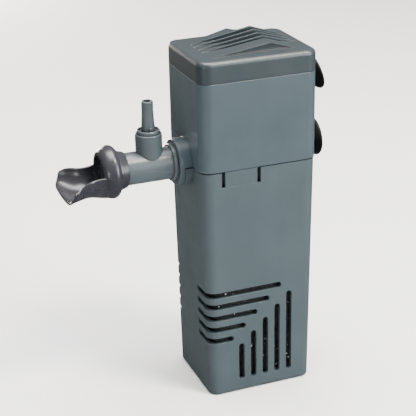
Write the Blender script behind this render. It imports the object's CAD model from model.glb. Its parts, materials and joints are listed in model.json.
import json
import math

import bmesh
import bpy
from mathutils import Matrix, Vector, noise


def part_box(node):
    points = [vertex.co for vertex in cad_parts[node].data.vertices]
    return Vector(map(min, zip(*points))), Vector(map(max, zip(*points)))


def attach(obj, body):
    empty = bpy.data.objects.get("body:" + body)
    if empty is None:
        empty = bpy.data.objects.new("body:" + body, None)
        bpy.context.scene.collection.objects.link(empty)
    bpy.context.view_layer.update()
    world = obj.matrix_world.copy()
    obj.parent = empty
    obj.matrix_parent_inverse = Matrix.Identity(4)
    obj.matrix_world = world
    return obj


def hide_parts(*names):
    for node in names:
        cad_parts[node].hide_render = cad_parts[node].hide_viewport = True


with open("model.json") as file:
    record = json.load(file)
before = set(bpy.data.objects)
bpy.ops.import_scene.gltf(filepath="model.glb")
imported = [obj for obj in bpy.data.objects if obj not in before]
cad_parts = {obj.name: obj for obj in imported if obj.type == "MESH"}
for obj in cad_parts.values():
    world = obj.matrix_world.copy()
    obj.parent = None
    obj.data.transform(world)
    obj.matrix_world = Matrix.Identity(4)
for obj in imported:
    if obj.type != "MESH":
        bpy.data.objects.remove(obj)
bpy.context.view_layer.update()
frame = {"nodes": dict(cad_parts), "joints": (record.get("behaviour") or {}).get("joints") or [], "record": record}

MM = 0.001

# Camera ---------------------------------------------------------------------

CAMERA_AZIMUTH = math.radians(-20.858)
CAMERA_ELEVATION = math.radians(23.041)
CAMERA_ROLL = math.radians(-1.225)
CAMERA_DISTANCE = 692.8 * MM
CAMERA_LENS = 104.17
CAMERA_SENSOR = 36
CAMERA_NEAR_CLIP = 0.01
AIM_HEIGHT = 100.0 * MM
AIM_RIGHT = -19.78 * MM
AIM_UP = 3.25 * MM


def add_camera():
    """A long lens at the front left, looking a little down and rolled slightly."""
    turn_sin, turn_cos = math.sin(CAMERA_AZIMUTH), math.cos(CAMERA_AZIMUTH)
    rise_sin, rise_cos = math.sin(CAMERA_ELEVATION), math.cos(CAMERA_ELEVATION)
    roll_sin, roll_cos = math.sin(CAMERA_ROLL), math.cos(CAMERA_ROLL)
    back = Vector((turn_sin * rise_cos, -turn_cos * rise_cos, rise_sin))
    level = Vector((turn_cos, turn_sin, 0))
    up = back.cross(level)
    right = level * roll_cos + up * roll_sin
    top = up * roll_cos - level * roll_sin
    aim = Vector((0, 0, AIM_HEIGHT)) + right * AIM_RIGHT + top * AIM_UP
    data = bpy.data.cameras.new("camera")
    data.lens = CAMERA_LENS
    data.sensor_width = CAMERA_SENSOR
    data.clip_start = CAMERA_NEAR_CLIP
    camera = bpy.data.objects.new("camera", data)
    turn = Matrix((right, top, back)).transposed()
    camera.matrix_world = Matrix.Translation(aim + back * CAMERA_DISTANCE) @ turn.to_4x4()
    bpy.context.scene.collection.objects.link(camera)
    bpy.context.scene.camera = camera


# Light and floor ------------------------------------------------------------

SKY_LIGHT = (0.80, 0.79, 0.80)
GROUND_LIGHT = (0.135, 0.124, 0.112)

# Point near the middle of the part that every softbox faces, in metres
LIGHT_TARGET = (0, 0, 0.12)

# Name, place in metres, width and height in metres, watts, colour
SOFTBOXES = [
    ("key", (0.85, -1.05, 0.55), (0.7, 0.9), 32, (0.92, 0.98, 1.0)),
    ("top", (0.0, 0.1, 1.30), (0.8, 0.8), 40, (1.0, 0.96, 0.94)),
    ("glint", (0.38, -0.46, 1.15), (0.26, 0.26), 20, (1.0, 0.90, 0.82)),
    ("edge", (-0.10, 1.25, 0.12), (0.3, 0.4), 14, (1.0, 0.90, 0.82)),
    ("fill", (-1.0, -0.75, 0.22), (0.25, 0.3), 3.5, (0.97, 0.98, 1.0)),
]

FLOOR_REACH = 6.0
FLOOR_WHITE = (0.86, 0.86, 0.86)
FLOOR_DIM = (0.93, 0.93, 0.93)
FLOOR_BRIGHT = (0.95, 0.95, 0.95)
FLOOR_ROUGHNESS = 0.9

# Sockets of the Mix node in colour mode
MIX_FIRST = 6
MIX_SECOND = 7
MIX_RESULT = 2


def add_softbox(name, place, size, power, tint):
    data = bpy.data.lights.new(name, "AREA")
    data.shape = "RECTANGLE"
    data.size = size[0]
    data.size_y = size[1]
    data.energy = power
    data.color = tint
    lamp = bpy.data.objects.new(name, data)
    lamp.location = place
    towards = Vector(LIGHT_TARGET) - Vector(place)
    lamp.rotation_euler = towards.to_track_quat("-Z", "Y").to_euler()
    bpy.context.scene.collection.objects.link(lamp)


def add_sky():
    """Sky that dims from overhead to the horizon, with an even glow below, the same all round."""
    world = bpy.data.worlds.new("studio")
    world.use_nodes = True
    tree = world.node_tree
    place = tree.nodes.new("ShaderNodeTexCoord")
    split = tree.nodes.new("ShaderNodeSeparateXYZ")
    rise = tree.nodes.new("ShaderNodeMapRange")
    rise.inputs["From Min"].default_value = 0.0
    rise.inputs["From Max"].default_value = 1.0
    mix = tree.nodes.new("ShaderNodeMix")
    mix.data_type = "RGBA"
    mix.inputs[MIX_FIRST].default_value = (*GROUND_LIGHT, 1)
    mix.inputs[MIX_SECOND].default_value = (*SKY_LIGHT, 1)
    tree.links.new(place.outputs["Generated"], split.inputs["Vector"])
    tree.links.new(split.outputs["Z"], rise.inputs["Value"])
    tree.links.new(rise.outputs["Result"], mix.inputs["Factor"])
    tree.links.new(mix.outputs[MIX_RESULT], tree.nodes["Background"].inputs["Color"])
    bpy.context.scene.world = world


def add_studio():
    add_sky()
    for softbox in SOFTBOXES:
        add_softbox(*softbox)


def add_floor():
    """A plain sheet of pale paper that reflections don't show."""
    mesh = bpy.data.meshes.new("floor")
    reach = FLOOR_REACH
    corners = [(-reach, -reach, 0), (reach, -reach, 0), (reach, reach, 0), (-reach, reach, 0)]
    mesh.from_pydata(corners, [], [(0, 1, 2, 3)])
    floor = bpy.data.objects.new("floor", mesh)
    bpy.context.scene.collection.objects.link(floor)
    paper = Shader("floor_paper", FLOOR_WHITE, FLOOR_ROUGHNESS)
    paper.colour_between(paper.noise(3, 2), FLOOR_DIM, FLOOR_BRIGHT)
    mesh.materials.append(paper.material)
    floor.visible_glossy = False


# Materials ------------------------------------------------------------------

# Rays that the edge and crevice nodes send out
NODE_SAMPLES = 6

PLASTIC_EDGE_RADIUS = 0.35 * MM
GAP_REACH = 2.2 * MM
GAP_DARKENING = 0.55
DUST_AMOUNT = 0.12
DUST = (0.62, 0.61, 0.58)
RUST = (0.20, 0.09, 0.04)
RUBBER_EDGE_RADIUS = 0.2 * MM
FIBRE = (0.62, 0.66, 0.64)


class Shader:
    """A Principled material and the few node patterns that the materials here share."""

    def __init__(self, name, colour, roughness, **sockets):
        self.material = bpy.data.materials.new(name)
        self.material.use_nodes = True
        self.tree = self.material.node_tree
        self.surface = self.tree.nodes["Principled BSDF"]
        self.surface.inputs["Base Color"].default_value = (*colour, 1)
        self.surface.inputs["Roughness"].default_value = roughness
        for socket, value in sockets.items():
            self.surface.inputs[socket.replace("_", " ")].default_value = value
        self.place = self.add("ShaderNodeTexCoord").outputs["Object"]
        self.relief = None

    def add(self, kind):
        return self.tree.nodes.new(kind)

    def link(self, output, socket):
        self.tree.links.new(output, socket)

    def stretched(self, x, y, z, turn=0.0):
        """Object coordinates scaled along each axis, and turned so that lines run askew."""
        node = self.add("ShaderNodeMapping")
        node.inputs["Scale"].default_value = (x, y, z)
        node.inputs["Rotation"].default_value = (turn, turn * 0.7, turn * 1.3)
        self.link(self.place, node.inputs["Vector"])
        return node.outputs["Vector"]

    def noise(self, scale, detail, roughness=0.5, place=None):
        node = self.add("ShaderNodeTexNoise")
        node.inputs["Scale"].default_value = scale
        node.inputs["Detail"].default_value = detail
        node.inputs["Roughness"].default_value = roughness
        self.link(place or self.place, node.inputs["Vector"])
        return node.outputs["Fac"]

    def cells(self, scale, feature="F1"):
        node = self.add("ShaderNodeTexVoronoi")
        node.feature = feature
        node.inputs["Scale"].default_value = scale
        self.link(self.place, node.inputs["Vector"])
        return node.outputs["Distance"]

    def ranged(self, value, low, high, to_low, to_high):
        """Value carried from low..high over to to_low..to_high, held at the ends."""
        node = self.add("ShaderNodeMapRange")
        node.inputs["From Min"].default_value = low
        node.inputs["From Max"].default_value = high
        node.inputs["To Min"].default_value = to_low
        node.inputs["To Max"].default_value = to_high
        self.link(value, node.inputs["Value"])
        return node.outputs["Result"]

    def maths(self, operation, one, two):
        node = self.add("ShaderNodeMath")
        node.operation = operation
        self.link(one, node.inputs[0])
        if isinstance(two, (int, float)):
            node.inputs[1].default_value = two
        else:
            self.link(two, node.inputs[1])
        return node.outputs[0]

    def mixed(self, share, one, two):
        """Colour one where share is 0 and two where it is 1; each may be a colour or an output."""
        node = self.add("ShaderNodeMix")
        node.data_type = "RGBA"
        self.link(share, node.inputs["Factor"])
        for value, index in ((one, MIX_FIRST), (two, MIX_SECOND)):
            socket = node.inputs[index]
            if isinstance(value, tuple):
                socket.default_value = (*value, 1)
            else:
                self.link(value, socket)
        return node.outputs[MIX_RESULT]

    def colour_from(self, value):
        self.link(value, self.surface.inputs["Base Color"])

    def colour_between(self, share, one, two):
        self.colour_from(self.mixed(share, one, two))

    def roughness_from(self, value):
        self.link(value, self.surface.inputs["Roughness"])

    def uneven_sheen(self, scale, detail, smooth, rough):
        """Roughness that wanders between smooth and rough."""
        self.roughness_from(self.ranged(self.noise(scale, detail), 0.3, 0.7, smooth, rough))

    def rounded_edges(self, radius):
        node = self.add("ShaderNodeBevel")
        node.samples = NODE_SAMPLES
        node.inputs["Radius"].default_value = radius
        self.relief = node.outputs["Normal"]
        self.link(self.relief, self.surface.inputs["Normal"])

    def bump(self, height, depth, strength):
        """Adds relief on top of the relief so far."""
        node = self.add("ShaderNodeBump")
        node.inputs["Strength"].default_value = strength
        node.inputs["Distance"].default_value = depth
        self.link(height, node.inputs["Height"])
        if self.relief:
            self.link(self.relief, node.inputs["Normal"])
        self.relief = node.outputs["Normal"]
        self.link(self.relief, self.surface.inputs["Normal"])

    def crevices(self, reach):
        """1 on open faces, towards 0 in corners and gaps."""
        node = self.add("ShaderNodeAmbientOcclusion")
        node.samples = NODE_SAMPLES
        node.inputs["Distance"].default_value = reach
        return node.outputs["AO"]


def shade(colour, factor):
    return tuple(channel * factor for channel in colour)


def moulded_plastic(name, colour, roughness, grain):
    """Moulded plastic: flow marks, fine grain, handling smudges, hairline scratches, dusty gaps."""
    s = Shader(name, colour, roughness, Specular_IOR_Level=0.5)
    s.rounded_edges(PLASTIC_EDGE_RADIUS)

    flow = s.noise(1.0, 5, 0.6, s.stretched(55, 55, 14))
    blotch = s.noise(38, 4, 0.55)
    tone = s.ranged(s.maths("ADD", flow, blotch), 0.7, 1.3, 0, 1)
    body = s.mixed(tone, shade(colour, 0.91), shade(colour, 1.09))

    gap = s.ranged(s.crevices(GAP_REACH), 0.35, 0.95, 1.0, 0.0)
    dirty = s.mixed(s.maths("MULTIPLY", gap, GAP_DARKENING), body, shade(colour, 0.35))

    speck = s.ranged(s.cells(620), 0.045, 0.03, 0, 1)
    rare = s.ranged(s.noise(90, 2), 0.55, 0.65, 0, DUST_AMOUNT)
    s.colour_from(s.mixed(s.maths("MULTIPLY", speck, rare), dirty, DUST))

    upright_hairs = s.noise(1.0, 2, 0.5, s.stretched(1500, 60, 60, 0.6))
    level_hairs = s.noise(1.0, 2, 0.5, s.stretched(70, 70, 1700, 0.35))
    upright_scratch = s.ranged(upright_hairs, 0.70, 0.76, 0, 1)
    level_scratch = s.ranged(level_hairs, 0.71, 0.77, 0, 1)
    scratch = s.maths("MAXIMUM", upright_scratch, level_scratch)
    smudge = s.ranged(s.noise(26, 6, 0.65), 0.35, 0.7, roughness - 0.05, roughness + 0.09)
    s.roughness_from(s.maths("ADD", smudge, s.maths("MULTIPLY", scratch, 0.10)))

    s.bump(s.noise(420, 2), 0.03 * MM, 0.5)
    s.bump(s.noise(2600, 3, 0.6), grain, 0.8)
    s.bump(scratch, -0.006 * MM, 0.6)
    return s.material


def moulded_rubber(name, colour, roughness):
    """Soft rubber: mottled sheen, fine pits and a little pale bloom in the hollows."""
    s = Shader(name, colour, roughness, Specular_IOR_Level=0.28)
    s.rounded_edges(RUBBER_EDGE_RADIUS)
    bloom = s.ranged(s.noise(160, 5, 0.65), 0.45, 0.75, 0, 0.5)
    s.colour_between(bloom, shade(colour, 0.85), shade(colour, 2.0))
    s.roughness_from(s.ranged(s.noise(70, 5, 0.6), 0.3, 0.7, roughness - 0.08, roughness + 0.12))
    s.bump(s.noise(900, 3), 0.02 * MM, 0.7)
    s.bump(s.ranged(s.cells(1500), 0.0, 0.3, 0, 1), 0.01 * MM, 0.5)
    return s.material


def open_foam(name, colour):
    """Coarse black filter foam: a web of struts round dark cells, with stray pale fibres."""
    s = Shader(name, colour, 0.85, Specular_IOR_Level=0.3)
    web = s.ranged(s.cells(750, feature="DISTANCE_TO_EDGE"), 0.02, 0.16, 1, 0)
    small_web = s.ranged(s.cells(1700, feature="DISTANCE_TO_EDGE"), 0.02, 0.2, 1, 0)
    struts = s.maths("MAXIMUM", web, s.maths("MULTIPLY", small_web, 0.6))
    tone = s.mixed(struts, shade(colour, 0.15), shade(colour, 2.2))
    speck = s.ranged(s.cells(430), 0.26, 0.16, 0, 1)
    rare = s.ranged(s.noise(170, 2), 0.54, 0.58, 0, 0.95)
    s.colour_between(s.maths("MULTIPLY", speck, rare), tone, FIBRE)
    s.uneven_sheen(300, 3, 0.7, 0.95)
    s.bump(struts, 0.6 * MM, 0.9)
    return s.material


def ceramic(name, colour):
    """Glazed ceramic with faint grinding rings."""
    s = Shader(name, colour, 0.2)
    s.colour_between(s.noise(300, 3), shade(colour, 0.95), colour)
    s.uneven_sheen(180, 4, 0.14, 0.3)
    s.bump(s.noise(1.0, 1, 0.5, s.stretched(200, 200, 5000)), 0.004 * MM, 0.5)
    return s.material


def stacked_steel(name, colour):
    """Edges of thin sheets in a stack, with a few rust stains."""
    s = Shader(name, colour, 0.42, Metallic=1.0)
    sheet = s.noise(1.0, 0, 0.5, s.stretched(4, 4, 2000))
    rust = s.ranged(s.noise(120, 5, 0.6), 0.58, 0.7, 0, 0.7)
    s.colour_between(rust, colour, RUST)
    s.uneven_sheen(200, 4, 0.35, 0.6)
    s.bump(sheet, 0.05 * MM, 0.8)
    return s.material


def enamelled_wire(name, colour):
    """Turns of copper wire laid side by side."""
    s = Shader(name, colour, 0.3, Metallic=1.0)
    wave = s.add("ShaderNodeTexWave")
    wave.bands_direction = "X"
    wave.inputs["Scale"].default_value = 500
    s.link(s.place, wave.inputs["Vector"])
    s.colour_between(wave.outputs["Fac"], shade(colour, 0.5), colour)
    s.uneven_sheen(300, 4, 0.22, 0.4)
    s.bump(wave.outputs["Fac"], 0.12 * MM, 0.9)
    return s.material


def ground_ferrite(name, colour):
    """Dull grey-black magnet, finely ground."""
    s = Shader(name, colour, 0.5)
    s.colour_between(s.noise(500, 5, 0.7), shade(colour, 0.7), shade(colour, 1.5))
    s.uneven_sheen(250, 4, 0.38, 0.62)
    s.bump(s.noise(1.0, 3, 0.5, s.stretched(500, 500, 3500)), 0.02 * MM, 0.6)
    return s.material


HOUSING_GREY = (0.037, 0.055, 0.064)
CANISTER_GREY = (0.039, 0.056, 0.063)
LID_GREY = (0.020, 0.029, 0.033)
OUTLET_GREY = (0.046, 0.060, 0.067)
NOZZLE_GREY = (0.020, 0.021, 0.026)

MATERIALS = {
    "canister_plastic": moulded_plastic("canister_plastic", CANISTER_GREY, 0.33, 0.012 * MM),
    "head_plastic": moulded_plastic("head_plastic", HOUSING_GREY, 0.32, 0.012 * MM),
    "lid_plastic": moulded_plastic("lid_plastic", LID_GREY, 0.33, 0.018 * MM),
    "outlet_plastic": moulded_plastic("outlet_plastic", OUTLET_GREY, 0.28, 0.008 * MM),
    "nozzle_plastic": moulded_plastic("nozzle_plastic", NOZZLE_GREY, 0.27, 0.010 * MM),
    "inner_plastic": moulded_plastic("inner_plastic", (0.06, 0.066, 0.07), 0.45, 0.012 * MM),
    "bobbin_plastic": moulded_plastic("bobbin_plastic", (0.72, 0.70, 0.62), 0.5, 0.010 * MM),
    "impeller_plastic": moulded_plastic("impeller_plastic", (0.25, 0.26, 0.27), 0.4, 0.008 * MM),
    "resin_black": moulded_plastic("resin_black", (0.014, 0.014, 0.016), 0.22, 0.004 * MM),
    "rubber_black": moulded_rubber("rubber_black", (0.012, 0.013, 0.013), 0.5),
    "cup_rubber": moulded_rubber("cup_rubber", (0.0022, 0.0034, 0.0030), 0.42),
    "foam": open_foam("foam", (0.012, 0.012, 0.012)),
    "ceramic": ceramic("ceramic", (0.85, 0.84, 0.80)),
    "laminations": stacked_steel("laminations", (0.50, 0.50, 0.52)),
    "copper_wire": enamelled_wire("copper_wire", (0.70, 0.28, 0.12)),
    "ferrite": ground_ferrite("ferrite", (0.035, 0.035, 0.038)),
}


def paint_cad():
    """Gives each CAD node the material of its slot."""
    for entry in frame["record"]["subparts"]:
        node = frame["nodes"][entry["node"]]
        node.data.materials.clear()
        node.data.materials.append(MATERIALS[entry["material_slot"]])


# Pieces ---------------------------------------------------------------------

CUP_SEGMENTS = 96
CUP_STEPS = 16
CUP_PLUG_R = 2.45 * MM
CUP_PLUG_CHAMFER = 0.3 * MM
CUP_NECK_LENGTH = 4.35 * MM
CUP_SHOULDER_R = 4.2 * MM
CUP_RIDGES = 6
CUP_RIDGE_HEIGHT = 0.14 * MM
CUP_FLARE = 1.45
CUP_WALL_AT_NECK = 1.35 * MM
CUP_THINNING = 0.75 * MM

FOAM_CORNER_R = 6.5 * MM
FOAM_SPACING = 1.3 * MM
FOAM_LEVELS = 78
FOAM_PORE = 0.55 * MM
FOAM_SWELL = 0.25 * MM
FOAM_SINK = 0.6 * FOAM_PORE
FOAM_EDGE_INSET = 0.8 * MM
COARSE_PORES_PER_METRE = 520
FINE_PORES_PER_METRE = 1300
SWELLS_PER_METRE = 60
FOAM_BORE_R = 8.4 * MM
FOAM_FOOT_BORE_R = 10.4 * MM
FOAM_FOOT_DEPTH = 3.4 * MM
CORNER_STEPS = 8

TUBE_R = 9.0 * MM
TUBE_FLANGE = 11.0 * MM
RIDGE_HALF_WIDTH = 0.16 * MM
RIDGE_ROOT = 0.1 * MM
RIDGE_HEIGHT = 0.09 * MM

MERGE_DISTANCE = 0.002 * MM


def add_mesh(name, rows, slot, body, closed_rows=True, smooth=True):
    """Skin over rows of points, each a closed loop; closed_rows joins the last row to the first."""
    mesh = bpy.data.meshes.new(name)
    count = len(rows[0])
    last = len(rows) if closed_rows else len(rows) - 1
    faces = []
    for i in range(last):
        here = i * count
        following = ((i + 1) % len(rows)) * count
        for j in range(count):
            beside = (j + 1) % count
            faces.append((here + j, here + beside, following + beside, following + j))
    mesh.from_pydata([point for row in rows for point in row], [], faces)
    tidy = bmesh.new()
    tidy.from_mesh(mesh)
    bmesh.ops.remove_doubles(tidy, verts=tidy.verts, dist=MERGE_DISTANCE)
    bmesh.ops.recalc_face_normals(tidy, faces=tidy.faces)
    tidy.to_mesh(mesh)
    tidy.free()
    for polygon in mesh.polygons:
        polygon.use_smooth = smooth
    mesh.materials.append(MATERIALS[slot])
    piece = bpy.data.objects.new(name, mesh)
    bpy.context.scene.collection.objects.link(piece)
    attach(piece, body)
    return piece


def smoothstep(value, low, high):
    t = min(max((value - low) / (high - low), 0), 1)
    return t * t * (3 - 2 * t)


def cup_profile(start, rim, radius):
    """(x, radius) round a suction cup's section: plug, ridged back, lip, and the inside back in."""
    neck = start + CUP_NECK_LENGTH
    plug = [
        (start, 0),
        (start, CUP_PLUG_R - 0.35 * MM),
        (start + CUP_PLUG_CHAMFER, CUP_PLUG_R),
        (neck, CUP_PLUG_R),
        (neck + 0.1 * MM, 3.6 * MM),
        (neck + 1.2 * MM, 4.0 * MM),
    ]
    outer = []
    inner = []
    for i in range(CUP_STEPS + 1):
        share = i / CUP_STEPS
        r = CUP_SHOULDER_R + (radius - CUP_SHOULDER_R) * share
        ridge = CUP_RIDGE_HEIGHT * math.sin(share * math.pi * CUP_RIDGES) ** 2
        x = neck + 1.7 * MM + (rim - neck - 2.6 * MM) * share ** CUP_FLARE
        outer.append((x - ridge, r))
        inner.append((x + CUP_WALL_AT_NECK - CUP_THINNING * share, r - 0.25 * MM * share))
    lip = [(rim - 0.25 * MM, radius), (rim, radius - 0.2 * MM), (rim, radius - 0.5 * MM)]
    floor = [(neck + 2.6 * MM, 2.2 * MM), (neck + 2.5 * MM, 0)]
    return plug + outer + lip + inner[::-1] + floor


def suction_cup(node, tilt, lift):
    """Rubber cup turned about X; its flange leans by tilt (radians) and rises by lift at the rim."""
    low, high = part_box(node)
    reach = high.x - low.x
    neck = low.x + CUP_NECK_LENGTH
    centre = (low.z + high.z) / 2
    rows = []
    for x, r in cup_profile(low.x, high.x, (high.z - low.z) / 2):
        lean = tilt * smoothstep(x, neck - 0.3 * MM, neck + reach * 0.35)
        rise = lift * smoothstep(x, neck, high.x)
        ahead = x - neck
        row = []
        for j in range(CUP_SEGMENTS):
            angle = 2 * math.pi * j / CUP_SEGMENTS
            y = r * math.cos(angle)
            z = r * math.sin(angle)
            leant_x = neck + ahead * math.cos(lean) - z * math.sin(lean)
            leant_z = ahead * math.sin(lean) + z * math.cos(lean) + rise
            row.append((leant_x, y, centre + leant_z))
        rows.append(row)
    cup = add_mesh(node + "_rubber", rows, "cup_rubber", "pump_head", closed_rows=False)
    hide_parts(node)


def direction(degrees):
    angle = math.radians(degrees)
    return Vector((math.cos(angle), math.sin(angle)))


def perimeter(width, depth, radius, spacing):
    """Evenly spaced points round a rounded rectangle, with their outward directions."""
    points = []
    signs = [(1, -1), (1, 1), (-1, 1), (-1, -1)]
    centres = [Vector((x * (width / 2 - radius), y * (depth / 2 - radius))) for x, y in signs]
    for index, centre in enumerate(centres):
        start = 90 * index - 90
        for k in range(CORNER_STEPS):
            out = direction(start + 90 * k / CORNER_STEPS)
            points.append((centre + out * radius, out))
        out = direction(start + 90)
        side = centres[(index + 1) % 4] - centre
        steps = max(int(side.length / spacing), 1)
        for k in range(steps):
            points.append((centre + side * (k / steps) + out * radius, out))
    return points


def foam_bump(point, out):
    """Point moved in and out by coarse and fine pores and a slow swell."""
    coarse = 0.6 * noise.noise(point * COARSE_PORES_PER_METRE)
    fine = 0.4 * noise.noise(point * FINE_PORES_PER_METRE + Vector((7, 3, 1)))
    swell = noise.noise(point * SWELLS_PER_METRE)
    return point + out * (FOAM_PORE * (coarse + fine) + FOAM_SWELL * swell - FOAM_SINK)


def foam_end_row(ring, share, z, bore):
    """Loop across an end of the foam, a share of the way from its edge in to its bore."""
    row = []
    for place, _ in ring:
        spot = place.lerp(place.normalized() * bore, share)
        row.append(Vector((spot.x, spot.y, z)))
    return row


def foam_block():
    """Foam cartridge with a cellular skin, a bore up the middle and a wider step at its foot."""
    low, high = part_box("sponge_cartridge")
    ring = perimeter(high.x - low.x, high.y - low.y, FOAM_CORNER_R, FOAM_SPACING)
    rows = []
    for i in range(FOAM_LEVELS + 1):
        z = low.z + (high.z - low.z) * i / FOAM_LEVELS
        inset = FOAM_EDGE_INSET if i in (0, FOAM_LEVELS) else 0
        row = []
        for place, out in ring:
            outward = Vector((out.x, out.y, 0))
            point = Vector((place.x, place.y, z)) - outward * inset
            row.append(foam_bump(point, outward))
        rows.append(row)
    for share in (0.4, 0.8, 1.0):
        rows.append(foam_end_row(ring, share, high.z, FOAM_BORE_R))
    step_z = low.z + FOAM_FOOT_DEPTH
    rows.append(foam_end_row(ring, 1.0, step_z, FOAM_BORE_R))
    rows.append(foam_end_row(ring, 1.0, step_z, FOAM_FOOT_BORE_R))
    rows.append(foam_end_row(ring, 0.5, low.z, FOAM_FOOT_BORE_R))
    foam = add_mesh("foam_block", rows, "foam", "canister")
    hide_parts("sponge_cartridge")


def joint_height(name):
    joint = next(joint for joint in frame["joints"] if joint["name"] == name)
    return joint["pos_m"][2]


def parting_line(name, side):
    """Hairline ridge that the mould leaves along one side of the outlet tube, closed at its ends."""
    axis_z = joint_height("outlet_swivel")
    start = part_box("duckbill_nozzle")[1].x
    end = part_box("outlet_tube")[1].x - TUBE_FLANGE
    root = side * (TUBE_R - RIDGE_ROOT)
    crest = side * (TUBE_R + RIDGE_HEIGHT)
    rows = []
    for x, share in ((start, 0), (start, 1), (end, 1), (end, 0)):
        y = root + (crest - root) * share
        half = RIDGE_HALF_WIDTH * share
        rows.append([
            (x, root, axis_z - half),
            (x, y, axis_z - half / 3),
            (x, y, axis_z + half / 3),
            (x, root, axis_z + half),
        ])
    add_mesh(name, rows, "outlet_plastic", "outlet", closed_rows=False, smooth=False)


add_camera()
add_studio()
add_floor()
paint_cad()
suction_cup("suction_cup_upper", tilt=0.30, lift=-0.2 * MM)
suction_cup("suction_cup_lower", tilt=0.04, lift=-1.3 * MM)
foam_block()
parting_line("parting_line_near", -1)
parting_line("parting_line_far", 1)
